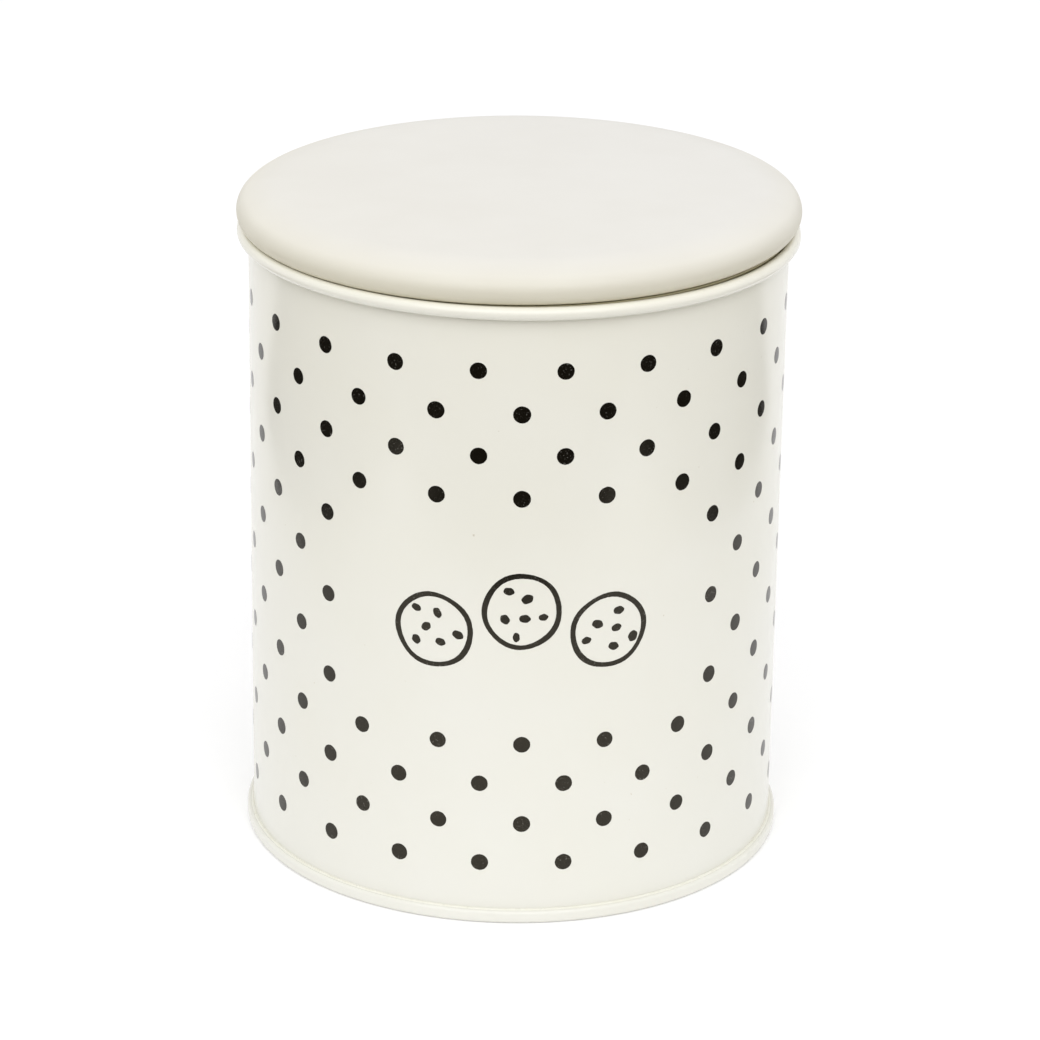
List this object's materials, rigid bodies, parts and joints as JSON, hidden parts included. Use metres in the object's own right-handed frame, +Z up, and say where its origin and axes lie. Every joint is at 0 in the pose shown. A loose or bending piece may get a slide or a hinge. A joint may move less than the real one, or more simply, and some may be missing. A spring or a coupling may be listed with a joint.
{
  "type": "cookie tin",
  "caption": "Round sheet-metal cookie tin with a rolled rim, a seamed base and a push-in lid with a soft seal.",
  "frame": {"origin": "centre of the ring that the tin stands on", "axes": "+Z up along the tin's axis towards the lid, +Y towards the lock seam at the back, -Y towards the front"},
  "size_m": [0.1397, 0.1398, 0.1696],
  "materials": {
    "body_coat": "satin cream powder coat with printed black dots",
    "lid_coat": "matt off-white powder coat",
    "seal_rubber": "translucent matt silicone"
  },
  "bodies": {
    "canister": {"body_wall": "body_coat", "base_end": "body_coat"},
    "lid": {"lid_shell": "lid_coat", "lid_plug": "lid_coat", "lid_seal": "seal_rubber"}
  },
  "joints": [
    {"name": "lid_lift", "type": "slide", "parent": "canister", "child": "lid", "axis": [0, 0, 1], "range_m": [0, 0.16]}
  ]
}
